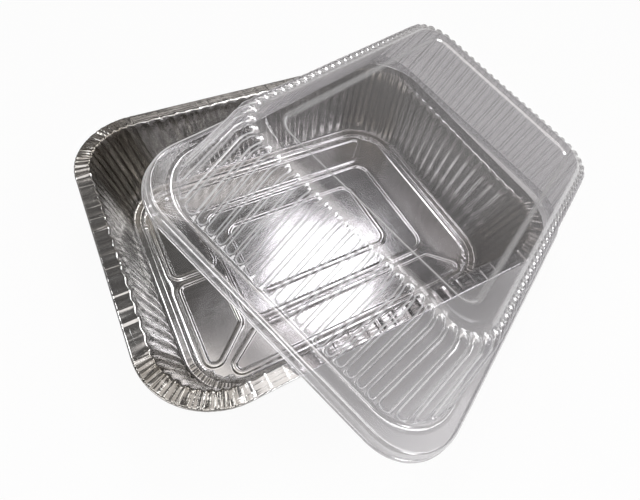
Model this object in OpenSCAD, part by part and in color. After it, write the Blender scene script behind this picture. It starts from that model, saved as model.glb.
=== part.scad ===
/* [Tray] */
// Length of the tray over its rim
tray_l = 322; // [280:1:360]
// Width of the tray over its rim
tray_w = 262; // [230:1:300]
// Height of the rim above the table
tray_h = 68; // [45:1:85]
// Corner radius of the rim's outer edge
tray_r = 54; // [45:1:65]
// Width of the rim from its outer edge to the mouth
rim_w = 11; // [9:0.5:14]
// Diameter of the bead that is rolled at the rim's edge
roll_d = 3; // [2:0.2:4]
// How far the floor lies inside the rim's outer edge
floor_inset = 22; // [18:0.5:30]
// Thickness of the tray's sheet
foil_t = 0.5; // [0.3:0.1:0.8]

/* [Tray walls] */
// Width of one wall flute, measured along the rim
flute_pitch = 11; // [9:0.5:16]
// Depth of a wall flute
flute_d = 1.5; // [0.8:0.1:2.2]
// Number of pleats gathered in each corner
corner_pleats = 10; // [8:1:14]
// Height of the curve between floor and wall
floor_curve = 6; // [4:0.5:10]

/* [Tray floor] */
// Width of the flat band between the wall and the floor's step
band_w = 8; // [5:0.5:12]
// Height of that band above the floor panel
band_h = 2; // [1:0.2:3]
// Width of a stamped bead at its foot
bead_w = 4.4; // [3.6:0.2:6]
// Width of a stamped bead at its crest
bead_top = 2.2; // [1.8:0.1:3]
// Height of a stamped bead above the floor panel
bead_h = 1.4; // [0.8:0.1:2]
// Distance between the middles of two neighbouring beads
bead_step = 7.2; // [7:0.2:9]
// Distance from the floor's step to the middle of the first bead
bead_edge = 6.5; // [5:0.5:9]
// Half length and half width of the inner loop of beads
inner_loop = [66, 38]; // [30:1:70]
// Distances of the outer loop from the inner loop, to the left, right and sides
outer_loop = [14, 30, 20]; // [10:1:32]

/* [Lid] */
// Room between the tray's rim and the lid's outer edge
lid_room = 2.5; // [1.5:0.1:4]
// Thickness of the lid's sheet
lid_t = 0.5; // [0.3:0.1:0.8]
// Corner radius of the lid's outer edge
lid_r = 46; // [40:1:55]
// Height of the lid's skirt
skirt_h = 9.5; // [7:0.5:13]
// Width of the lid's lip at the foot of the skirt
lip_w = 1.6; // [1:0.1:3]
// Height of the dome above the lid's lower edge
dome_h = 78; // [55:1:90]
// How far the foot of the dome wall lies inside the lid's edge
dome_foot = 15; // [14:0.5:20]
// How far the shoulder of the dome lies inside the lid's edge
dome_top = 38; // [34:0.5:40]
// Width of the rounded shoulder, from the wall to the flat top
shoulder_w = 11; // [6:0.5:12]
// Drop of the rounded shoulder
shoulder_h = 4.5; // [3:0.5:7]
// Width of one wall rib, measured at the shoulder
rib_pitch = 7; // [6:0.1:10]
// Depth of the valleys between the wall ribs
rib_d = 1.8; // [1:0.1:2.4]
// Number of ribs round each corner
corner_ribs = 5; // [4:1:7]
// Width of the flat ledge round the top panel
ledge_w = 11; // [8:0.5:15]
// Drop of the top panel below the ledge
panel_drop = 1.5; // [1:0.1:2.5]

/* [How the lid lies] */
// Where the lid's back edge crosses the tray's rim, from the lid's middle
cross_back = 116; // [90:1:118]
// Where the lid's left edge crosses the tray's rim, from the lid's middle
cross_left = 36; // [20:1:50]
// How far the lid's middle lies to the right of the tray's middle
lid_shift = 59; // [58:1:64]
// Clearance where the lid rests on the tray and on the table
rest_gap = 0.6; // [0.5:0.05:0.9]

/* [Hidden] */

// Tray levels and insets
panel_z = foil_t;
band_z = band_h + foil_t;
step_inset = floor_inset + band_w;
step_run = 1.5;
mouth_run = 1;
wall_rise = band_z + floor_curve;
mouth_drop = 2.5;
bead_r = roll_d / 2;
roll_rise = 0.3;
roll_sides = 6;
rim_top = tray_h + roll_rise;
mouth_r = tray_r - rim_w;
floor_run = 2;
arc_steps = 3;
// Radii of the bends in the stamped loops, and how far the die cuts below the floor
inner_bend = 12;
outer_bend = 14;
end_bend = 7;
side_bend = 6;
cut_below = 1;
tray_half = [tray_l / 2, tray_w / 2];
panel_half = tray_half - (step_inset + step_run) * [1, 1];
panel_r = tray_r - rim_w - band_w - step_run;

// Lid levels and insets
lid_half = tray_half + lid_room * [1, 1];
lip_lean = 0.6;
shelf_round = 2;
skirt_inset = lip_w + lip_lean;
shelf_inset = skirt_inset + shelf_round;
foot_rise = 3.5;
foot_run = 2;
ledge_inset = dome_top + shoulder_w;
panel_inset = ledge_inset + ledge_w;
foot_tuck = 4;
shoulder_tuck = 15;
ledge_tuck = 5;
foot_r = lid_r - foot_tuck;
shoulder_r = foot_r - shoulder_tuck;
ledge_r = shoulder_r - ledge_tuck;
top_r = 10;

// Heights of one flute's points, as [place along the flute, depth]
tray_wave = [[0, 0], [0.45, 0], [0.72, 1]];
lid_wave = [[0, 1], [0.3, 0], [0.7, 0]];
pleat_wave = [[0, 0], [0.5, 1]];

// Stations round a rounded rectangle, as [quarter, 0 on a side or 1 in a corner, place, depth]
function flutes(quarter, part, count, wave) =
    [for (i = [0 : count - 1]) for (w = wave) [quarter, part, (i + w[0]) / count, w[1]]];

function stations(side_counts, corner_count, side_wave, corner_wave) =
    [for (q = [0 : 3]) each concat(
        flutes(q, 0, side_counts[q % 2], side_wave),
        flutes(q, 1, corner_count, corner_wave))];

// Places in the list of the stations that the plain rings use
function corner_places(list) =
    [for (i = [0 : len(list) - 1]) if (list[i][1] == 1 || list[i][2] == 0) i];

function unit(v) = v / norm(v);

function spin(q, p) =
    q == 0 ? p : q == 1 ? [-p[1], p[0]] : q == 2 ? -p : [p[1], -p[0]];

function outline_point(st, half, r, depth) =
    let (a = st[0] % 2 == 0 ? half[0] : half[1],
         b = st[0] % 2 == 0 ? half[1] : half[0],
         d = depth * st[3])
    spin(st[0], st[1] == 0
        ? [a - d, (b - r) * (2 * st[2] - 1)]
        : [a - r + (r - d) * cos(90 * st[2]), b - r + (r - d) * sin(90 * st[2])]);

// One ring of a sheet, as [fluted or plain, inset, height, corner radius, flute depth]
function fluted(inset, z, r, depth) = [true, inset, z, r, depth];
function plain(inset, z, r) = [false, inset, z, r, 0];

function ring_points(ring, half, list, places) =
    [for (i = ring[0] ? [0 : len(list) - 1] : places)
        let (p = outline_point(list[i], half - ring[1] * [1, 1], ring[3], ring[4]))
        [p[0], p[1], ring[2]]];

function running_sum(v, i = 0, total = 0, out = []) =
    i == len(v) ? out : running_sum(v, i + 1, total + v[i], concat(out, [total]));

// Faces between two rings. A plain ring skips the stations along the sides, so each of its edges
// meets a run of a fluted ring's edges in a fan
function strip(a, b, start_a, start_b, count, places) =
    let (few = len(places))
    a[0] == b[0]
    ? let (n = a[0] ? count : few)
        [for (i = [0 : n - 1]) let (j = (i + 1) % n) each [
            [start_a + i, start_a + j, start_b + j],
            [start_a + i, start_b + j, start_b + i]]]
    : [for (m = [0 : few - 1])
        let (next = (m + 1) % few,
             from = places[m],
             to = next == 0 ? count : places[next],
             start = a[0] ? start_a : start_b,
             run = [for (i = [from : to]) start + i % count])
        a[0]
        ? concat([start_b + m], run, [start_b + next])
        : concat([start_a + m, start_a + next], [for (i = [len(run) - 1 : -1 : 0]) run[i]])];

// A closed sheet: the rings run from its middle outwards over the top and back underneath
module sheet(rings, half, list) {
    places = corner_places(list);
    sizes = [for (r = rings) r[0] ? len(list) : len(places)];
    starts = running_sum(sizes);
    last = len(rings) - 1;
    points = [for (r = rings) each ring_points(r, half, list, places)];
    top_cap = [for (i = [sizes[0] - 1 : -1 : 0]) i];
    under_cap = [for (i = [0 : sizes[last] - 1]) starts[last] + i];
    walls = [for (j = [0 : last - 1])
        each strip(rings[j], rings[j + 1], starts[j], starts[j + 1], len(list), places)];
    polyhedron(points, concat([top_cap, under_cap], walls), convexity = 8);
}

// Rings of the edge that is rolled outwards and under, from the rim's top round to its underside
function rolled_edge() =
    [for (i = [0 : roll_sides])
        let (a = 90 - i * 270 / roll_sides, out = bead_r * (1 - cos(a)))
        plain(out, tray_h - bead_r + roll_rise + bead_r * sin(a), tray_r - out)];

module tray_sheet() {
    side_counts = [round((tray_w - 2 * tray_r) / flute_pitch), round((tray_l - 2 * tray_r) / flute_pitch)];
    list = stations(side_counts, corner_pleats, tray_wave, pleat_wave);
    over = [
        plain(step_inset + step_run, panel_z, panel_r),
        plain(step_inset, band_z, panel_r + step_run),
        fluted(floor_inset + floor_run, band_z, mouth_r - floor_run, 0),
        fluted(floor_inset, wall_rise, mouth_r, flute_d),
        fluted(rim_w + mouth_run, tray_h - mouth_drop, mouth_r, flute_d),
        fluted(rim_w, tray_h, mouth_r, flute_d / 2),
        plain(bead_r, tray_h, tray_r - bead_r)];
    under = [
        plain(bead_r, tray_h - foil_t, tray_r - bead_r),
        fluted(rim_w - foil_t, tray_h - foil_t, mouth_r + foil_t, flute_d / 2),
        fluted(rim_w + mouth_run - foil_t, tray_h - mouth_drop, mouth_r + foil_t, flute_d),
        fluted(floor_inset - foil_t, wall_rise, mouth_r + foil_t, flute_d),
        fluted(floor_inset + floor_run, band_h, mouth_r - floor_run, 0),
        plain(step_inset, band_h, panel_r + step_run),
        plain(step_inset + step_run, 0, panel_r)];
    sheet(concat(over, rolled_edge(), under), tray_half, list);
}

// Loops of stamped beads on one half of the floor; the other half mirrors those at the sides
left_x = inner_loop[0] + outer_loop[0];
right_x = inner_loop[0] + outer_loop[1];
side_y = inner_loop[1] + outer_loop[2];
edge_x = panel_half[0] - bead_edge;
edge_y = panel_half[1] - bead_edge;
slant_share = 0.7;
slant = bead_step * slant_share;

function box_loop(x0, x1, y) = [[x0, -y], [x1, -y], [x1, y], [x0, y]];
function end_loop() = [
    [-edge_x, -edge_y + slant],
    [-left_x - bead_step, -side_y + slant / 2],
    [-left_x - bead_step, -bead_step / 2],
    [-edge_x, -bead_step / 2]];
function side_loop() = [
    [-edge_x + slant, -edge_y],
    [edge_x - slant, -edge_y],
    [right_x - slant, -side_y - bead_step],
    [-left_x, -side_y - bead_step]];

// Points and outward directions along a loop whose corners are rounded
function loop_path(corners, r) =
    [for (i = [0 : len(corners) - 1])
        let (p = corners[i],
             u = unit(corners[(i + len(corners) - 1) % len(corners)] - p),
             v = unit(corners[(i + 1) % len(corners)] - p),
             half = acos(u * v) / 2,
             middle = p + unit(u + v) * r / sin(half),
             from = unit(p + u * r / tan(half) - middle),
             to = unit(p + v * r / tan(half) - middle),
             turn = 180 - 2 * half)
        for (k = [0 : arc_steps])
            let (out = (sin(turn * (1 - k / arc_steps)) * from + sin(turn * k / arc_steps) * to) / sin(turn))
            [middle + r * out, out]];

// A ridge round a loop, with its foot and crest at two heights
module ridge(corners, r, foot_w, crest_w, foot_z, crest_z) {
    path = loop_path(corners, r);
    n = len(path);
    section = [[foot_w / 2, foot_z], [crest_w / 2, crest_z], [-crest_w / 2, crest_z], [-foot_w / 2, foot_z]];
    points = [for (s = section) for (q = path) let (p = q[0] + s[0] * q[1]) [p[0], p[1], s[1]]];
    faces = [for (j = [0 : 3]) for (i = [0 : n - 1])
        let (a = j * n + i, b = j * n + (i + 1) % n, c = ((j + 1) % 4) * n + (i + 1) % n, d = ((j + 1) % 4) * n + i)
        each [[a, c, b], [a, d, c]]];
    polyhedron(points, faces, convexity = 6);
}

module floor_beads(foot_w, crest_w, foot_z, crest_z) {
    ridge(box_loop(-inner_loop[0], inner_loop[0], inner_loop[1]), inner_bend, foot_w, crest_w, foot_z, crest_z);
    ridge(box_loop(-left_x, right_x, side_y), outer_bend, foot_w, crest_w, foot_z, crest_z);
    for (side = [0, 1]) mirror([0, side, 0]) {
        ridge(end_loop(), end_bend, foot_w, crest_w, foot_z, crest_z);
        ridge(side_loop(), side_bend, foot_w, crest_w, foot_z, crest_z);
    }
}

module foil_tray() {
    slope = (bead_w - bead_top) / 2 / bead_h;
    wall = 2 * foil_t;
    color("silver") difference() {
        union() {
            tray_sheet();
            floor_beads(bead_w + slope * foil_t, bead_top, foil_t / 2, foil_t + bead_h);
        }
        floor_beads(bead_w - wall + 2 * slope, bead_top - wall / 2, -cut_below, bead_h);
    }
}

module clear_lid() {
    side_counts = [
        round((lid_half[1] - ledge_inset - ledge_r) * 2 / rib_pitch),
        round((lid_half[0] - ledge_inset - ledge_r) * 2 / rib_pitch)];
    list = stations(side_counts, corner_ribs, lid_wave, lid_wave);
    top = [
        plain(panel_inset + panel_drop, dome_h - panel_drop, top_r),
        plain(panel_inset, dome_h, top_r + panel_drop),
        fluted(ledge_inset, dome_h, ledge_r, 0),
        fluted(dome_top, dome_h - shoulder_h, shoulder_r, rib_d),
        fluted(dome_foot, skirt_h + foot_rise, foot_r, rib_d),
        fluted(dome_foot - foot_run, skirt_h, foot_r, 0),
        plain(shelf_inset, skirt_h, lid_r - shelf_inset),
        plain(skirt_inset, skirt_h - shelf_round, lid_r - skirt_inset),
        plain(lip_w, lid_t + lip_lean, lid_r - lip_w),
        plain(0, lid_t, lid_r)];
    inside = [
        plain(0, 0, lid_r),
        plain(lip_w + lid_t, 0, lid_r - lip_w - lid_t),
        plain(skirt_inset + lid_t, skirt_h - shelf_round - lid_t / 2, lid_r - skirt_inset - lid_t),
        plain(shelf_inset + lid_t / 2, skirt_h - lid_t, lid_r - shelf_inset - lid_t / 2),
        fluted(dome_foot - foot_run + lid_t / 2, skirt_h - lid_t, foot_r, 0),
        fluted(dome_foot + lid_t, skirt_h + foot_rise - lid_t, foot_r, rib_d),
        fluted(dome_top + lid_t, dome_h - shoulder_h - lid_t / 2, shoulder_r, rib_d),
        fluted(ledge_inset + lid_t / 2, dome_h - lid_t, ledge_r, 0),
        plain(panel_inset, dome_h - lid_t, top_r + panel_drop),
        plain(panel_inset + panel_drop, dome_h - panel_drop - lid_t, top_r)];
    color("whitesmoke", 0.4) lie_on_tray() sheet(concat(top, inside), lid_half, list);
}

// The lid leans on the tray's rim at two places and on the table at its front right corner.
// Its lower edge is a plane whose slopes along the lid's own x and y follow from those three points.
slope_ratio = (lid_half[0] + cross_back) / (lid_half[1] + cross_left);
reach = lid_half[0] - cross_back - lid_r + slope_ratio * (2 * lid_half[1] - lid_r)
    + lid_r * sqrt(1 + slope_ratio * slope_ratio);
slope_x = rim_top / reach;
slope_y = slope_ratio * slope_x;
pitch = asin(slope_y);
roll = asin(slope_x / cos(pitch));
lift = rim_top + rest_gap + slope_x * cross_back - slope_y * lid_half[1];
// The line between the two crossings spans the tray's width, which sets how far the lid is turned
span = [(cross_back + lid_half[0]) * cos(roll),
    (cross_back + lid_half[0]) * sin(pitch) * sin(roll) + (lid_half[1] + cross_left) * cos(pitch)];
turn = asin(tray_w / norm(span)) - atan2(span[1], span[0]);
back_point = [cross_back * cos(roll), cross_back * sin(pitch) * sin(roll) + lid_half[1] * cos(pitch)];
lid_y = tray_half[1] - back_point[0] * sin(turn) - back_point[1] * cos(turn);

module lie_on_tray() {
    translate([lid_shift, lid_y, lift]) rotate([0, 0, turn]) rotate([pitch, 0, 0]) rotate([0, roll, 0]) children();
}

foil_tray();
clear_lid();
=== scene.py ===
import math

import bpy
import bmesh
import numpy as np
from mathutils import Matrix, Vector
from mathutils.geometry import delaunay_2d_cdt


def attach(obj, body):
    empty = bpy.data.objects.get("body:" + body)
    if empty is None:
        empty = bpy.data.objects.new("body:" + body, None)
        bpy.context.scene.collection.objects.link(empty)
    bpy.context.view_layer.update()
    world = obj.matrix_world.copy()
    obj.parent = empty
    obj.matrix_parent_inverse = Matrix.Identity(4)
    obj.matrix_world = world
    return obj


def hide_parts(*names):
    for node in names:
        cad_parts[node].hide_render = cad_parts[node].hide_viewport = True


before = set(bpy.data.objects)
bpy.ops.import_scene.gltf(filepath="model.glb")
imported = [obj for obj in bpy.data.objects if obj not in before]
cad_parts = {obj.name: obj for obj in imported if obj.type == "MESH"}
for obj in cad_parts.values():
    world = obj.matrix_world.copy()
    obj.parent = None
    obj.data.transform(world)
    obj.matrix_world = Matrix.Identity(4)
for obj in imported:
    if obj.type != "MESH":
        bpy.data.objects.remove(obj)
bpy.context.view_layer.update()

# The foil tray: one sheet of thin aluminium, pressed between two dies. Its walls are drawn down in
# flutes, the spare foil gathers in fine pleats in the corners, and the press rolls the edge under.
# All sizes are in millimetres and become metres in the finished mesh.
MILLIMETRE = 0.001
TRAY_HALF = np.array([161.0, 131.0])
TRAY_HEIGHT = 68.0
TRAY_RADIUS = 54.0
RIM_WIDTH = 11.0
MOUTH_RADIUS = TRAY_RADIUS - RIM_WIDTH
ROLL_RADIUS = 1.5
ROLL_RISE = 0.3
FLOOR_INSET = 22.0
BAND_WIDTH = 8.0
STEP_RUN = 1.5
FOIL = 0.4
PANEL_Z = 0.5
BAND_Z = 2.5
FLUTE_PITCH = 11.0
FLUTE_DEPTH = 1.5
CORNER_PLEATS = 10
FLUTE_PLACES = (0.0, 0.06, 0.13, 0.3, 0.5, 0.7, 0.87, 0.94)
PLEAT_PLACES = tuple(i / 10 for i in range(10))
CORNER_BLEND = 8.0
CORNER_SHARE = 0.4
FOIL_GREY = (0.64, 0.635, 0.63)
FOIL_SILVER = (0.77, 0.77, 0.775)
# Painted shade: the dark brown that the foil's base colour is mixed towards in the corners and on the
# walls.
FOIL_PAINTED_SHADE = (0.24, 0.22, 0.19, 1.0)


class Wire:
    """An output of a node. Arithmetic on it adds Math nodes to the same tree."""

    def __init__(self, tree, socket=None):
        self.tree = tree
        self.socket = socket

    def node(self, kind, settings=None, values=None, output=0):
        """Adds a node: its settings first, then the values or wires of its sockets."""
        made = self.tree.nodes.new(kind)
        for name, value in (settings or {}).items():
            if name == "stops":
                ramp = made.color_ramp
                ramp.elements.remove(ramp.elements[1])
                for i, (place, colour) in enumerate(value):
                    stop = ramp.elements[0] if i == 0 else ramp.elements.new(place)
                    stop.position = place
                    stop.color = (*colour, 1.0)
            elif name == "curve":
                points = made.mapping.curves[0].points
                points[0].location = value[0]
                points[1].location = value[-1]
                for place in value[1:-1]:
                    points.new(*place)
                made.mapping.update()
            else:
                setattr(made, name, value)
        for name, value in (values or {}).items():
            if isinstance(value, Wire):
                self.tree.links.new(value.socket, made.inputs[name])
            else:
                made.inputs[name].default_value = value
        return Wire(self.tree, made.outputs[output]) if made.outputs else None

    def beside(self, output):
        """Another output of the same node."""
        return Wire(self.tree, self.socket.node.outputs[output])

    def math(self, operation, first, second):
        """A Math node on two wires or numbers."""
        return self.node("ShaderNodeMath", {"operation": operation}, {0: first, 1: second})

    def __add__(self, other):
        return self.math("ADD", self, other)

    __radd__ = __add__

    def __sub__(self, other):
        return self.math("SUBTRACT", self, other)

    def __rsub__(self, other):
        return self.math("SUBTRACT", other, self)

    def __mul__(self, other):
        return self.math("MULTIPLY", self, other)

    __rmul__ = __mul__

    def __truediv__(self, other):
        return self.math("DIVIDE", self, other)

    def __rtruediv__(self, other):
        return self.math("DIVIDE", other, self)

    def __pow__(self, other):
        return self.math("POWER", self, other)

    def __abs__(self):
        return self.math("ABSOLUTE", self, 0.0)


def stations_round(side_counts, side_places, corner_count, corner_places):
    """Places round a rounded rectangle, as rows of quarter, in a corner or not, share and phase."""
    rows = []
    for quarter in range(4):
        for corner, count, places in (
            (0, side_counts[quarter % 2], side_places),
            (1, corner_count, corner_places),
        ):
            phases = [i + place for i in range(count) for place in places]
            rows += [(quarter, corner, phase / count, phase) for phase in phases]
    return np.array(rows)


def turned(quarter, points):
    """Points of the first quarter, turned to their own quarter."""
    x, y = points[:, 0], points[:, 1]
    turns = {0: (x, y), 1: (-y, x), 2: (-x, -y), 3: (y, -x)}
    out = np.zeros_like(points)
    for number, (new_x, new_y) in turns.items():
        mine = quarter == number
        out[mine, 0] = new_x[mine]
        out[mine, 1] = new_y[mine]
    return out


def ring_at(stations, half, radius):
    """Points and outward directions of one ring of a sheet."""
    quarter, corner, share = stations[:, 0], stations[:, 1], stations[:, 2]
    reach = np.where(quarter % 2 == 0, half[0], half[1])
    width = np.where(quarter % 2 == 0, half[1], half[0])
    angle = np.where(corner == 1, share * math.pi / 2, 0.0)
    outward = np.stack([np.cos(angle), np.sin(angle)], 1)
    side = np.stack([reach, (width - radius) * (2 * share - 1)], 1)
    bend = np.stack([reach - radius, width - radius], 1) + radius * outward
    flat = np.where(corner[:, None] == 1, bend, side)
    return turned(quarter, flat), turned(quarter, outward)


def rounded_section(corners, cuts, arc_rows, longest):
    """A section's line with rounded corners, and no two of its points further apart than longest.

    A corner whose cut is 0 stays sharp."""
    corners = [np.array(corner, float) for corner in corners]
    line = [corners[0]]
    for i in range(1, len(corners) - 1):
        before, here, after = corners[i - 1], corners[i], corners[i + 1]
        if not cuts[i - 1]:
            line.append(here)
            continue
        back = np.linalg.norm((before - here)[:2])
        ahead = np.linalg.norm((after - here)[:2])
        cut = min(cuts[i - 1], 0.48 * back, 0.48 * ahead)
        start = here + (before - here) * cut / back
        end = here + (after - here) * cut / ahead
        for row in range(arc_rows + 1):
            share = row / arc_rows
            rest = 1 - share
            line.append(rest**2 * start + 2 * share * rest * here + share * share * end)
    line.append(corners[-1])
    out = [line[0]]
    for here, there in zip(line, line[1:]):
        parts = max(1, math.ceil(np.linalg.norm((there - here)[:2]) / longest))
        out += [here + (there - here) * (part + 1) / parts for part in range(parts)]
    return np.array(out)


def sheet_mesh(name, half, stations, section, cap):
    """A sheet swept round a rounded rectangle.

    Section rows are inset, height, radius, depth, crease and the distance past the end of a flute, in
    half flutes. The attributes say where each point lies in the pattern that the tool presses in, and
    cornering rises from 0 along the sides to 1 round the corners."""
    count = len(stations)
    points, away = [], []
    along = np.gradient(section[:, :2], axis=0)
    along /= np.linalg.norm(along, axis=1)[:, None]
    for row, (run, drop) in zip(section, along):
        flat, out = ring_at(stations, half - row[0], row[2])
        points.append(np.column_stack([flat, np.full(count, row[1])]))
        if cap:
            away.append(np.column_stack([-drop * out, np.full(count, -run)]))
        else:
            away.append(np.column_stack([out, np.zeros(count)]))
    points = np.vstack(points)
    rows = len(section)
    here = np.arange(count)
    beside = (here + 1) % count
    faces = []
    for row in range(rows - 1):
        this_row, next_row = row * count, (row + 1) * count
        corners = [this_row + here, next_row + here, next_row + beside, this_row + beside]
        faces += np.stack(corners, 1).tolist()
    if cap:
        faces.append(list(range(count)))
    mesh = bpy.data.meshes.new(name)
    mesh.from_pydata(points.tolist(), [], faces)
    step = np.linalg.norm(np.diff(points[-count:], axis=0, append=points[-count : -count + 1]), axis=1)
    whole = step.sum()
    turn = 2 * math.pi * np.concatenate([[0.0], np.cumsum(step)[:-1]]) / whole
    wheel = whole / (2 * math.pi)
    lengths = np.linalg.norm(np.diff(section[:, :2], axis=0), axis=1)
    down = np.concatenate([[0.0], np.cumsum(lengths)])
    near_end = np.minimum(stations[:, 2], 1 - stations[:, 2]) * CORNER_BLEND
    in_corner = np.clip(near_end, 0, 1) * (1 - CORNER_SHARE) + CORNER_SHARE
    on_side = CORNER_SHARE - np.clip(near_end, 0, CORNER_SHARE)
    cornering = np.where(stations[:, 1] == 1, in_corner, on_side)
    for attribute, kind, values in (
        ("away", "FLOAT_VECTOR", np.vstack(away)),
        ("phase", "FLOAT", np.tile(stations[:, 3], rows)),
        ("corner", "FLOAT", np.tile(stations[:, 1], rows)),
        ("cornering", "FLOAT", np.tile(cornering, rows)),
        ("wheel_x", "FLOAT", np.tile(wheel * np.cos(turn), rows)),
        ("wheel_y", "FLOAT", np.tile(wheel * np.sin(turn), rows)),
        ("down", "FLOAT", np.repeat(down, count)),
        ("depth", "FLOAT", np.repeat(section[:, 3], count)),
        ("crease", "FLOAT", np.repeat(section[:, 4], count)),
        ("beyond", "FLOAT", np.repeat(section[:, 5], count)),
    ):
        layer = mesh.attributes.new(attribute, kind, "POINT")
        field = "vector" if kind == "FLOAT_VECTOR" else "value"
        layer.data.foreach_set(field, values.astype(np.float32).ravel())
    return mesh


def pressing_tree(name, side_curve, corner_curve):
    """Geometry Nodes that press flutes, pleats, creases and unevenness into a swept sheet."""
    tree = bpy.data.node_groups.new(name, "GeometryNodeTree")
    tree.interface.new_socket("Geometry", in_out="INPUT", socket_type="NodeSocketGeometry")
    for label, default in (
        ("Side Depth", 1.0),
        ("Corner Depth", 1.0),
        ("Corner Variety", 0.3),
        ("Crease Depth", 0.5),
        ("Crease Pitch", 3.3),
        ("Straight Crease", 0.1),
        ("Unevenness", 0.1),
        ("Unevenness Size", 30.0),
        ("Seed", 1.0),
    ):
        socket = tree.interface.new_socket(label, in_out="INPUT", socket_type="NodeSocketFloat")
        socket.default_value = default
    tree.interface.new_socket("Material", in_out="INPUT", socket_type="NodeSocketMaterial")
    tree.interface.new_socket("Geometry", in_out="OUTPUT", socket_type="NodeSocketGeometry")
    start = Wire(tree).node("NodeGroupInput")
    named = {socket.name: Wire(tree, socket) for socket in start.socket.node.outputs[:-1]}

    def attribute(label, kind="FLOAT"):
        return start.node("GeometryNodeInputNamedAttribute", {"data_type": kind}, {"Name": label})

    def noise(x, y, z, scale, detail):
        place = start.node("ShaderNodeCombineXYZ", None, {"X": x, "Y": y, "Z": z})
        return start.node(
            "ShaderNodeTexNoise",
            {"noise_dimensions": "3D"},
            {"Vector": place, "Scale": scale, "Detail": detail, "Roughness": 0.5},
        )

    phase = attribute("phase")
    corner = attribute("corner")
    cornering = attribute("cornering")
    wheel_x = attribute("wheel_x")
    wheel_y = attribute("wheel_y")
    down = attribute("down")
    within = start.node("ShaderNodeMath", {"operation": "FRACT"}, {0: phase})
    which = start.node("ShaderNodeMath", {"operation": "FLOOR"}, {0: phase})
    across = (within - 0.5) * 2.0
    from_crest = (across**2.0 + attribute("beyond") ** 2.0) ** 0.5
    side = start.node("ShaderNodeFloatCurve", {"curve": side_curve}, {"Value": from_crest})
    bend = start.node("ShaderNodeFloatCurve", {"curve": corner_curve}, {"Value": from_crest})
    # Each pleat of a corner reads the noise at its own whole number, so its depth differs a little.
    variety = noise(which, corner * 7.0, named["Seed"], 1.7, 0.0) - 0.5
    pitch = named["Crease Pitch"]
    # The fine creases change fast along the sheet and slowly down it, so they run down the wall.
    fine = noise(wheel_x / pitch, wheel_y / pitch, named["Seed"] + down * 0.05, 1.0, 2.0) - 0.5
    inwards = side * named["Side Depth"] * (1.0 - corner)
    inwards = inwards + (bend + variety * named["Corner Variety"] * 4.0) * named["Corner Depth"] * corner
    inwards = inwards * attribute("depth")
    inwards = inwards + fine * cornering * attribute("depth") * named["Crease Depth"] * 1.5
    creased = (cornering + named["Straight Crease"]) * attribute("crease")
    crease = fine * creased * named["Crease Depth"] * 4.0
    place = start.node("GeometryNodeInputPosition")
    uneven = start.node(
        "ShaderNodeTexNoise",
        {"noise_dimensions": "4D"},
        {"Vector": place, "W": named["Seed"], "Scale": 1.0 / named["Unevenness Size"], "Detail": 1.0},
    )
    uneven = (uneven - 0.5) * named["Unevenness"] * 2.0
    push = start.node(
        "ShaderNodeVectorMath",
        {"operation": "SCALE"},
        {0: attribute("away", "FLOAT_VECTOR"), "Scale": uneven - inwards},
    )
    rise = start.node("ShaderNodeCombineXYZ", None, {"Z": crease + uneven})
    offset = start.node("ShaderNodeVectorMath", {"operation": "ADD"}, {0: push, 1: rise})
    moved = start.node("GeometryNodeSetPosition", None, {"Geometry": named["Geometry"], "Offset": offset})
    smooth = start.node("GeometryNodeSetShadeSmooth", None, {"Geometry": moved, "Shade Smooth": True})
    real = start.node("GeometryNodeRealizeInstances", None, {"Geometry": smooth})
    real = start.node(
        "GeometryNodeStoreNamedAttribute",
        {"data_type": "FLOAT", "domain": "POINT"},
        {"Geometry": real, "Name": "from_crest", "Value": from_crest},
    )
    painted = start.node("GeometryNodeSetMaterial", None, {"Geometry": real, "Material": named["Material"]})
    start.node("NodeGroupOutput", None, {"Geometry": painted})
    return tree


def pressed_piece(name, mesh, tree, sizes, thickness, place):
    """Runs the pressing on a sheet, gives it its thickness and puts it in place as a plain mesh."""
    rough = bpy.data.objects.new(name + "_blank", mesh)
    bpy.context.scene.collection.objects.link(rough)
    press = rough.modifiers.new("press", "NODES")
    press.node_group = tree
    identifiers = {s.name: s.identifier for s in tree.interface.items_tree if s.in_out == "INPUT"}
    for label, value in sizes.items():
        press[identifiers[label]] = value
    wall = rough.modifiers.new("wall", "SOLIDIFY")
    wall.thickness = thickness
    wall.offset = -1.0
    settled = rough.evaluated_get(bpy.context.evaluated_depsgraph_get())
    made = bpy.data.meshes.new_from_object(settled)
    bpy.data.objects.remove(rough)
    made.transform(place @ Matrix.Scale(MILLIMETRE, 4))
    made.name = name
    piece = bpy.data.objects.new(name, made)
    bpy.context.scene.collection.objects.link(piece)
    return piece


def loop_line(corners, radius, spacing, bend_spacing):
    """Points and outward directions along a closed loop with rounded corners."""
    corners = [np.array(corner, float) for corner in corners]
    line, outs, bends = [], [], []
    for i, here in enumerate(corners):
        back = corners[i - 1] - here
        back = back / np.linalg.norm(back)
        ahead = corners[(i + 1) % len(corners)] - here
        ahead = ahead / np.linalg.norm(ahead)
        half = math.acos(float(np.clip(back @ ahead, -1, 1))) / 2
        middle = here + (back + ahead) / np.linalg.norm(back + ahead) * radius / math.sin(half)
        start = (here + back * radius / math.tan(half) - middle) / radius
        end = (here + ahead * radius / math.tan(half) - middle) / radius
        turn = math.pi - 2 * half
        steps = max(3, math.ceil(turn * radius / bend_spacing))
        for step in range(steps + 1):
            share = step / steps
            out = (math.sin(turn * (1 - share)) * start + math.sin(turn * share) * end) / math.sin(turn)
            bends.append((middle + radius * out, out))
    for (here, out), (there, after) in zip(bends, bends[1:] + bends[:1]):
        parts = max(1, math.ceil(np.linalg.norm(there - here) / spacing))
        for part in range(parts):
            line.append(here + (there - here) * part / parts)
            mixed = out + (after - out) * part / parts
            outs.append(mixed / np.linalg.norm(mixed))
    return np.array(line), np.array(outs)


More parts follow.
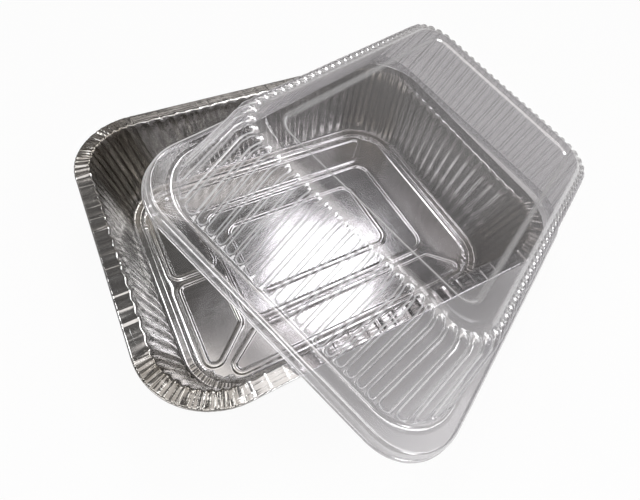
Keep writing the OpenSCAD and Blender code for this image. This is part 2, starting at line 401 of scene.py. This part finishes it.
# The beads in the floor are two loops one inside the other, two at the left end and one along each
# long side. Between them the panel is plain.
PANEL_HALF = TRAY_HALF - FLOOR_INSET - BAND_WIDTH - STEP_RUN
PANEL_RADIUS = MOUTH_RADIUS - BAND_WIDTH - STEP_RUN
BEAD_STEP = 7.2
BEAD_EDGE = 6.5
INNER_X, INNER_Y = 66.0, 38.0
LEFT_X, RIGHT_X, SIDE_Y = 80.0, 96.0, 58.0
SLANT = BEAD_STEP * 0.7
edge_x = PANEL_HALF[0] - BEAD_EDGE
edge_y = PANEL_HALF[1] - BEAD_EDGE
inner_box = [(-INNER_X, -INNER_Y), (INNER_X, -INNER_Y), (INNER_X, INNER_Y), (-INNER_X, INNER_Y)]
outer_box = [(-LEFT_X, -SIDE_Y), (RIGHT_X, -SIDE_Y), (RIGHT_X, SIDE_Y), (-LEFT_X, SIDE_Y)]
end_loop = [
    (-edge_x, -edge_y + SLANT),
    (-LEFT_X - BEAD_STEP, -SIDE_Y + SLANT / 2),
    (-LEFT_X - BEAD_STEP, -BEAD_STEP / 2),
    (-edge_x, -BEAD_STEP / 2),
]
side_loop = [
    (-edge_x + SLANT, -edge_y),
    (edge_x - SLANT, -edge_y),
    (RIGHT_X - SLANT, -SIDE_Y - BEAD_STEP),
    (-LEFT_X, -SIDE_Y - BEAD_STEP),
]
BEAD_SPACING = 4.0
BEND_SPACING = 1.7
BEAD_SECTION = ((3.3, 0.0), (2.8, 0.0), (2.4, 0.1), (1.8, 0.9), (1.3, 1.32), (0.7, 1.4), (0.0, 1.4))
PLAIN_SPACING = 4.0
PLAIN_ROOM = 4.2
PLAIN_MARGIN = 2.0


def floor_panel(stations):
    """The floor panel with its stamped beads, as points and faces, its outer ring first."""
    ring, _ = ring_at(stations, PANEL_HALF, PANEL_RADIUS)
    points = [np.column_stack([ring, np.zeros(len(ring))])]
    lines = []
    loops = [(inner_box, 12.0), (outer_box, 14.0), (end_loop, 7.0), (side_loop, 6.0)]
    mirrored = [([(x, -y) for x, y in loop][::-1], radius) for loop, radius in loops[2:]]
    for loop, radius in loops + mirrored:
        line, outs = loop_line(loop, radius, BEAD_SPACING, BEND_SPACING)
        lines.append(line)
        for off, height in BEAD_SECTION:
            for sign in (1, -1) if off else (1,):
                flat = line + outs * off * sign
                points.append(np.column_stack([flat, np.full(len(flat), height)]))
    lines = np.vstack(lines)
    xs = np.arange(-PANEL_HALF[0] + PLAIN_MARGIN, PANEL_HALF[0] - 1, PLAIN_SPACING)
    ys = np.arange(-PANEL_HALF[1] + PLAIN_MARGIN, PANEL_HALF[1] - 1, PLAIN_SPACING)
    grid = np.array([(x, y) for x in xs for y in ys])
    away = np.array([np.min(np.linalg.norm(lines - spot, axis=1)) for spot in grid])
    inner = PANEL_HALF - PANEL_RADIUS
    over = np.maximum(np.abs(grid) - inner, 0)
    inside = np.linalg.norm(over, axis=1) < PANEL_RADIUS - PLAIN_MARGIN
    grid = grid[(away > PLAIN_ROOM) & inside]
    points.append(np.column_stack([grid, np.zeros(len(grid))]))
    points = np.vstack(points)
    count = len(ring)
    edges = [(i, (i + 1) % count) for i in range(count)]
    flat = [Vector(point[:2]) for point in points]
    verts, _, faces, origin, _, _ = delaunay_2d_cdt(flat, edges, [], 1, 1e-6)
    heights = [points[source[0]][2] if source else 0.0 for source in origin]
    placed = [(vert.x, vert.y, PANEL_Z + height) for vert, height in zip(verts, heights)]
    return placed, faces


side_counts = [
    round(2 * (TRAY_HALF[1] - TRAY_RADIUS) / FLUTE_PITCH),
    round(2 * (TRAY_HALF[0] - TRAY_RADIUS) / FLUTE_PITCH),
]
tray_stations = stations_round(side_counts, FLUTE_PLACES, CORNER_PLEATS, PLEAT_PLACES)
tray_section = rounded_section(
    [
        (FLOOR_INSET + BAND_WIDTH + STEP_RUN, PANEL_Z, PANEL_RADIUS, 0, 0, 0),
        (FLOOR_INSET + BAND_WIDTH, BAND_Z, PANEL_RADIUS + STEP_RUN, 0, 0, 0),
        (FLOOR_INSET + 1, BAND_Z, MOUTH_RADIUS - 1, 0, 0, 0),
        (FLOOR_INSET - 1.0, 13.0, MOUTH_RADIUS, 1, 0, 0),
        (RIM_WIDTH + 2.0, 60.0, MOUTH_RADIUS, 1, 0, 0),
        (RIM_WIDTH, TRAY_HEIGHT, MOUTH_RADIUS, 0.7, 0.4, 0),
        (RIM_WIDTH - 2, TRAY_HEIGHT, MOUTH_RADIUS + 2, 0, 1, 0),
        (ROLL_RADIUS, TRAY_HEIGHT, TRAY_RADIUS - ROLL_RADIUS, 0, 0.8, 0),
    ],
    cuts=[1.0, 2.5, 6.0, 4.0, 2.0, 1.5],
    arc_rows=3,
    longest=7.0,
)
ROLL_STEPS = 8
roll_rows = []
for step in range(1, ROLL_STEPS + 1):
    angle = math.radians(90 - 270 * step / ROLL_STEPS)
    inset = ROLL_RADIUS * (1 - math.cos(angle))
    z = TRAY_HEIGHT - ROLL_RADIUS + ROLL_RISE + ROLL_RADIUS * math.sin(angle)
    roll_rows.append((inset, z, TRAY_RADIUS - inset, 0, 0.35, 0))
tray_section = np.vstack([tray_section, roll_rows])
tray_mesh = sheet_mesh("tray_walls", TRAY_HALF, tray_stations, tray_section, cap=False)
floor_points, floor_faces = floor_panel(tray_stations)
floor_mesh = bpy.data.meshes.new("tray_floor")
floor_mesh.from_pydata(floor_points, [], floor_faces)
joined = bmesh.new()
joined.from_mesh(tray_mesh)
joined.from_mesh(floor_mesh)
bmesh.ops.remove_doubles(joined, verts=joined.verts, dist=0.001)
joined.to_mesh(tray_mesh)
joined.free()

foil = bpy.data.materials.new("pressed_foil")
foil.use_nodes = True
foil.node_tree.nodes.clear()
start = Wire(foil.node_tree)
place = start.node("ShaderNodeTexCoord", None, None, "Object")
rolled = start.node("ShaderNodeMapping", None, {"Vector": place, "Scale": (9.0, 420.0, 9.0)})
grain = start.node("ShaderNodeTexNoise", None, {"Vector": rolled, "Scale": 1.0, "Detail": 1.0})
dents = start.node("ShaderNodeTexNoise", None, {"Vector": place, "Scale": 85.0, "Detail": 2.0})
clouds = start.node("ShaderNodeTexNoise", None, {"Vector": place, "Scale": 16.0, "Detail": 3.0})
wheel_x = start.node("ShaderNodeAttribute", {"attribute_name": "wheel_x"}, None, "Fac")
wheel_y = start.node("ShaderNodeAttribute", {"attribute_name": "wheel_y"}, None, "Fac")
down = start.node("ShaderNodeAttribute", {"attribute_name": "down"}, None, "Fac")
cornering = start.node("ShaderNodeAttribute", {"attribute_name": "cornering"}, None, "Fac")
wall = start.node("ShaderNodeAttribute", {"attribute_name": "depth"}, None, "Fac")
flange = start.node("ShaderNodeAttribute", {"attribute_name": "crease"}, None, "Fac")
upright_place = start.node(
    "ShaderNodeCombineXYZ",
    None,
    {"X": wheel_x * 0.3, "Y": wheel_y * 0.3, "Z": down * 0.04},
)
wrinkles = start.node("ShaderNodeTexNoise", None, {"Vector": upright_place, "Scale": 1.0, "Detail": 1.5})
level_place = start.node(
    "ShaderNodeCombineXYZ",
    None,
    {"X": wheel_x * 0.03, "Y": wheel_y * 0.03, "Z": down * 0.4},
)
streaks = start.node("ShaderNodeTexNoise", None, {"Vector": level_place, "Scale": 1.0, "Detail": 2.0})
# Wrinkles run up and down the corners, and streaks run along the flat rim.
height = dents * 0.03 + grain * 0.008 + wrinkles * cornering * 1.2 + streaks * flange * 0.8
bump = start.node("ShaderNodeBump", None, {"Height": height, "Strength": 0.6, "Distance": 0.0006})
colour = start.node(
    "ShaderNodeValToRGB",
    {"stops": ((0.3, FOIL_GREY), (0.7, FOIL_SILVER))},
    {"Fac": clouds},
)
# Painted shade: the base colour darkens towards a dark brown over the pleated corners, more
# between their wrinkles, and over the drawn walls.
painted_shade_mask = cornering * (0.35 + wrinkles * 0.6) + wall * 0.38
painted_shade_colour = start.node(
    "ShaderNodeMix",
    {"data_type": "RGBA"},
    {"Factor": painted_shade_mask, "A": colour, "B": FOIL_PAINTED_SHADE},
    output=2,
)
surface = start.node(
    "ShaderNodeBsdfPrincipled",
    None,
    {
        "Base Color": painted_shade_colour,
        "Metallic": 1.0,
        "Roughness": 0.12 + grain * 0.12 + cornering * 0.04,
        "Normal": bump,
    },
)
start.node("ShaderNodeOutputMaterial", None, {"Surface": surface})

foil_press = pressing_tree(
    "press_foil",
    ((0.0, 0.0), (0.35, 0.42), (0.7, 0.86), (0.84, 0.98), (1.0, 1.0)),
    ((0.0, 0.0), (0.5, 0.45), (1.0, 1.0)),
)
tray = pressed_piece(
    "pressed_tray",
    tray_mesh,
    foil_press,
    {
        "Side Depth": FLUTE_DEPTH,
        "Corner Depth": 1.6,
        "Corner Variety": 0.3,
        "Crease Depth": 0.95,
        "Crease Pitch": 1.8,
        "Straight Crease": 0.4,
        "Unevenness": 0.06,
        "Unevenness Size": 40.0,
        "Seed": 3.0,
        "Material": foil,
    },
    FOIL,
    Matrix.Identity(4),
)
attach(tray, "root")
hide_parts("foil_tray")

# The clear lid: one sheet of clear plastic, drawn by vacuum over a former. Its dome wall is ribbed to
# stay stiff, a ledge and a sunk panel lie on top, and the smooth skirt snaps over the tray's rim. It
# isn't fixed: it leans on the tray's rim at two places and on the table at one corner.
LID_ROOM = 2.5
LID_RADIUS = 46.0
LID_HALF = TRAY_HALF + LID_ROOM
FILM = 0.45
SKIRT = 9.5
DOME = 78.0
RIB_PITCH = 7.0
RIB_DEPTH = 1.8
CORNER_RIBS = 5
RIB_PLACES = (0.0, 0.09, 0.16, 0.24, 0.5, 0.76, 0.84, 0.91)
LEDGE_INSET = 49.0
LEDGE_RADIUS = 22.0
CROSS_BACK = 116.0
CROSS_LEFT = 36.0
LID_SHIFT = 59.0
REST_GAP = 0.6
FILM_TINT = (0.872, 0.866, 0.876, 1.0)
FILM_SHINE = (0.86, 0.86, 0.87, 1.0)
RIB_OUTLINE = 0.74


def lid_place():
    """The lid's place from its three points of contact, in millimetres, as the solid model has it."""
    half_x, half_y = LID_HALF
    rim_top = TRAY_HEIGHT + ROLL_RISE
    ratio = (half_x + CROSS_BACK) / (half_y + CROSS_LEFT)
    reach = half_x - CROSS_BACK - LID_RADIUS + ratio * (2 * half_y - LID_RADIUS)
    reach += LID_RADIUS * math.sqrt(1 + ratio * ratio)
    slope_x = rim_top / reach
    slope_y = ratio * slope_x
    pitch = math.asin(slope_y)
    roll = math.asin(slope_x / math.cos(pitch))
    lift = rim_top + REST_GAP + slope_x * CROSS_BACK - slope_y * half_y
    sway = math.sin(pitch) * math.sin(roll)
    span_x = (CROSS_BACK + half_x) * math.cos(roll)
    span_y = (CROSS_BACK + half_x) * sway + (half_y + CROSS_LEFT) * math.cos(pitch)
    turn = math.asin(2 * TRAY_HALF[1] / math.hypot(span_x, span_y)) - math.atan2(span_y, span_x)
    back_x = CROSS_BACK * math.cos(roll)
    back_y = CROSS_BACK * sway + half_y * math.cos(pitch)
    lid_y = TRAY_HALF[1] - back_x * math.sin(turn) - back_y * math.cos(turn)
    return (
        Matrix.Translation(Vector((LID_SHIFT, lid_y, lift)) * MILLIMETRE)
        @ Matrix.Rotation(turn, 4, "Z")
        @ Matrix.Rotation(pitch, 4, "X")
        @ Matrix.Rotation(roll, 4, "Y")
    )


rib_counts = [
    round((LID_HALF[1] - LEDGE_INSET - LEDGE_RADIUS) * 2 / RIB_PITCH),
    round((LID_HALF[0] - LEDGE_INSET - LEDGE_RADIUS) * 2 / RIB_PITCH),
]
lid_stations = stations_round(rib_counts, RIB_PLACES, CORNER_RIBS, RIB_PLACES)
lid_section = rounded_section(
    [
        (63.0, 76.5, 9.0, 0, 0, 0),
        (61.5, 76.5, 10.0, 0, 1, 0),
        (60.0, DOME, 11.5, 0, 1, 0),
        (58.5, DOME, 13.0, 0, 0, 0),
        (LEDGE_INSET + 0.5, DOME, LEDGE_RADIUS, 0, 0, 1.6),
        (45.5, 77.4, 24.0, 1, 0, 1.2),
        (40.5, 75.6, 26.0, 1, 0, 0),
        (36.5, 70.5, 28.0, 1, 0, 0),
        (16.5, 16.5, 41.0, 1, 0, 0),
        (14.2, 11.0, 42.0, 1, 0, 1.0),
        (13.4, SKIRT, 42.0, 0.5, 0.5, 1.4),
        (11.5, SKIRT, 42.0, 0, 0, 1.4),
        (5.4, SKIRT, 40.6, 0, 0, 0),
        (4.2, SKIRT, 41.8, 0, 1, 0),
        (2.2, 7.5, 43.8, 0, 1, 0),
        (2.0, 6.0, 44.0, 0, 0, 0),
        (1.7, 2.0, 44.3, 0, 0, 0),
        (1.6, 1.1, 44.4, 0, 1, 0),
        (0.0, 0.5, LID_RADIUS, 0, 1, 0),
    ],
    cuts=[0.4, 0.4, 0, 1.0, 1.0, 1.5, 1.5, 1.0, 1.0, 0.8, 0.6, 0, 0.9, 0.9, 0, 0, 0.3],
    arc_rows=2,
    longest=9.0,
)
lid_mesh = sheet_mesh("lid_sheet", LID_HALF, lid_stations, lid_section, cap=True)

film = bpy.data.materials.new("clear_film")
film.use_nodes = True
film.node_tree.nodes.clear()
start = Wire(film.node_tree)
place = start.node("ShaderNodeTexCoord", None, None, "Object")
ripple = start.node("ShaderNodeTexNoise", None, {"Vector": place, "Scale": 45.0, "Detail": 2.0})
bump = start.node("ShaderNodeBump", None, {"Height": ripple, "Strength": 0.15, "Distance": 0.0004})
facing = start.node("ShaderNodeLayerWeight", None, {"Blend": 0.5, "Normal": bump}, "Facing")
smears = start.node("ShaderNodeTexNoise", None, {"Vector": place, "Scale": 20.0, "Detail": 3.0})
clear = start.node("ShaderNodeBsdfTransparent", None, {"Color": FILM_TINT})
shine = start.node(
    "ShaderNodeBsdfPrincipled",
    None,
    {
        "Base Color": FILM_SHINE,
        "Metallic": 0.5,
        "Roughness": 0.05 + smears * 0.08,
        "Normal": bump,
    },
)
from_crest = start.node("ShaderNodeAttribute", {"attribute_name": "from_crest"}, None, "Fac")
ribbed = start.node("ShaderNodeAttribute", {"attribute_name": "depth"}, None, "Fac")
edge = start.node("ShaderNodeAttribute", {"attribute_name": "crease"}, None, "Fac")
outline = start.node(
    "ShaderNodeMapRange",
    {"interpolation_type": "SMOOTHSTEP"},
    {
        "Value": abs(from_crest - RIB_OUTLINE),
        "From Min": 0.14,
        "From Max": 0.02,
        "To Min": 0.0,
        "To Max": 1.0,
    },
)
beyond = start.node("ShaderNodeAttribute", {"attribute_name": "beyond"}, None, "Fac")
nose = start.node(
    "ShaderNodeMapRange",
    {"interpolation_type": "SMOOTHSTEP"},
    {"Value": beyond, "From Min": 0.0, "From Max": 0.6, "To Min": 0.0, "To Max": 1.0},
)
# Seen straight on the film is clear and seen at a slant it shines. Along the outlines of its ribs,
# their round ends and its sharp bends the film is painted more mirror-like, as painted lines of highlight
# and shade.
turned_away = 0.015 + 0.9 * facing**2.6
pattern = ribbed * (outline * 0.65 + nose * 0.22) + edge * 0.4
surface = start.node("ShaderNodeMixShader", None, {"Fac": turned_away + pattern, 1: clear, 2: shine})
start.node("ShaderNodeOutputMaterial", None, {"Surface": surface})

rib_curve = ((0.0, 0.0), (0.4, 0.08), (0.6, 0.38), (0.75, 0.88), (0.85, 1.0), (1.0, 1.0))
film_press = pressing_tree("press_film", rib_curve, rib_curve)
lid = pressed_piece(
    "domed_lid",
    lid_mesh,
    film_press,
    {
        "Side Depth": RIB_DEPTH,
        "Corner Depth": RIB_DEPTH,
        "Corner Variety": 0.0,
        "Crease Depth": 0.0,
        "Crease Pitch": 3.0,
        "Straight Crease": 0.0,
        "Unevenness": 0.2,
        "Unevenness Size": 45.0,
        "Seed": 11.0,
        "Material": film,
    },
    FILM,
    lid_place(),
)
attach(lid, "root")
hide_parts("clear_lid")

# The studio: a pale table top, wider than any view of it, in a dim room with soft lamps. Seen
# directly the table is white, in reflections it is partly white, and through the film it shows its
# own matt paint with the shadows on it.
TABLE_REACH = 12.0
TABLE_PAINT = (0.78, 0.78, 0.78, 1.0)
WHITE = (1.0, 1.0, 1.0, 1.0)
WINDOW_HEIGHT = 0.56
table_corners = [(x * TABLE_REACH, y * TABLE_REACH, 0) for x, y in ((-1, -1), (1, -1), (1, 1), (-1, 1))]
ground = bpy.data.meshes.new("table_top")
ground.from_pydata(table_corners, [], [(0, 1, 2, 3)])
table = bpy.data.objects.new("table_top", ground)
bpy.context.scene.collection.objects.link(table)
paint = bpy.data.materials.new("pale_table")
paint.use_nodes = True
paint.node_tree.nodes.clear()
start = Wire(paint.node_tree)
ray = start.node("ShaderNodeLightPath", None, None, "Is Camera Ray")
mirrored = ray.beside("Is Glossy Ray")
matt = start.node("ShaderNodeBsdfDiffuse", None, {"Color": TABLE_PAINT})
white = start.node("ShaderNodeEmission", None, {"Color": WHITE, "Strength": 1.0})
# A view of the table through no film at all has a transparent depth of 0.
layers = ray.beside("Transparent Depth")
open_view = start.node("ShaderNodeMath", {"operation": "LESS_THAN"}, {0: layers, 1: 0.5})
share = ray * open_view * 0.92 + mirrored * 0.4
surface = start.node("ShaderNodeMixShader", None, {"Fac": share, 1: matt, 2: white})
start.node("ShaderNodeOutputMaterial", None, {"Surface": surface})
table.data.materials.append(paint)

room = bpy.data.worlds.new("dim_room")
bpy.context.scene.world = room
room.use_nodes = True
room.node_tree.nodes.clear()
start = Wire(room.node_tree)
direction = start.node("ShaderNodeTexCoord", None, None, "Generated")
upwards = start.node("ShaderNodeSeparateXYZ", None, {"Vector": direction}, "Z")
backwards = upwards.beside("Y")
dusk = start.node(
    "ShaderNodeValToRGB",
    {
        "stops": (
            (0.0, (0.40, 0.39, 0.38)),
            (0.09, (0.16, 0.153, 0.147)),
            (0.3, (0.085, 0.079, 0.073)),
            (1.0, (0.065, 0.062, 0.06)),
        )
    },
    {"Fac": upwards},
)
# The room is lighter behind the tray, its ceiling is bright, and a window makes a level band of light
# far behind.
behind = start.node(
    "ShaderNodeMapRange",
    {"interpolation_type": "SMOOTHSTEP"},
    {"Value": backwards, "From Min": 0.52, "From Max": 0.8, "To Min": 0.8, "To Max": 1.9},
)
overhead = start.node(
    "ShaderNodeMapRange",
    {"interpolation_type": "SMOOTHSTEP"},
    {"Value": upwards - backwards * 0.6, "From Min": 0.65, "From Max": 0.76, "To Min": 0.0, "To Max": 1.0},
)
high = start.node(
    "ShaderNodeMapRange",
    {"interpolation_type": "SMOOTHSTEP"},
    {"Value": upwards, "From Min": 0.825, "From Max": 0.9, "To Min": 0.0, "To Max": 16.0},
)
window = start.node(
    "ShaderNodeMapRange",
    {"interpolation_type": "SMOOTHSTEP"},
    {
        "Value": abs(upwards - WINDOW_HEIGHT),
        "From Min": 0.05,
        "From Max": 0.02,
        "To Min": 0.0,
        "To Max": 10.0,
    },
)
far_back = start.node(
    "ShaderNodeMapRange",
    {"interpolation_type": "SMOOTHSTEP"},
    {"Value": backwards, "From Min": 0.62, "From Max": 0.74, "To Min": 0.0, "To Max": 1.0},
)
light = behind + overhead * high + window * far_back
dim = start.node("ShaderNodeBackground", None, {"Color": dusk, "Strength": light})
bright = start.node("ShaderNodeBackground", None, {"Color": WHITE, "Strength": 1.0})
ray = start.node("ShaderNodeLightPath", None, None, "Is Camera Ray")
sky = start.node("ShaderNodeMixShader", None, {"Fac": ray, 1: dim, 2: bright})
start.node("ShaderNodeOutputWorld", None, {"Surface": sky})

for name, spot, aim, size, power in (
    ("ceiling_lamp", (0.46, 0.59, 1.32), (0.0, 0.0, 0.0), 0.46, 4.7),
    ("window_lamp", (0.9, -0.65, 1.16), (0.0, 0.0, 0.05), 0.7, 6.0),
    ("front_lamp", (0.3, -1.58, 0.67), (0.0, 0.0, 0.05), 0.4, 5.0),
    ("back_lamp", (-0.86, 0.51, 1.25), (0.0, 0.0, 0.05), 0.45, 3.0),
    ("left_lamp", (-1.6, -0.45, 0.4), (0.0, 0.0, 0.05), 0.9, 8.0),
    ("fill_lamp", (-0.6, -0.85, 1.45), (0.0, 0.0, 0.05), 1.0, 6.0),
):
    data = bpy.data.lights.new(name, "AREA")
    data.shape = "SQUARE"
    data.size = size
    data.energy = power
    lamp = bpy.data.objects.new(name, data)
    lamp.location = spot
    lamp.rotation_mode = "QUATERNION"
    lamp.rotation_quaternion = (Vector(spot) - Vector(aim)).to_track_quat("Z", "Y")
    bpy.context.scene.collection.objects.link(lamp)

bpy.context.scene.view_settings.view_transform = "Standard"
bpy.context.scene.cycles.transparent_max_bounces = 40

# The camera stands where the photograph was taken from, above the tray's front left corner. Its
# focal length was found in pixels of the picture, which is 640 of them wide.
SENSOR_WIDTH = 36.0
PICTURE_WIDTH = 640
FOCAL_LENGTH = 414.42
EYE = (-0.12125, -0.18917, 0.31327)
lens = bpy.data.cameras.new("camera")
lens.sensor_width = SENSOR_WIDTH
lens.lens = FOCAL_LENGTH / PICTURE_WIDTH * SENSOR_WIDTH
lens.clip_start = 0.01
camera = bpy.data.objects.new("camera", lens)
bpy.context.scene.collection.objects.link(camera)
looking = Vector((0.32943, 0.44736, -0.83147)).normalized()
upright = Vector((0.3517, 0.75911, 0.54777)).normalized()
across = looking.cross(upright).normalized()
upright = across.cross(looking)
turned_to = Matrix((across, upright, -looking)).transposed().to_4x4()
camera.matrix_world = Matrix.Translation(EYE) @ turned_to
bpy.context.scene.camera = camera
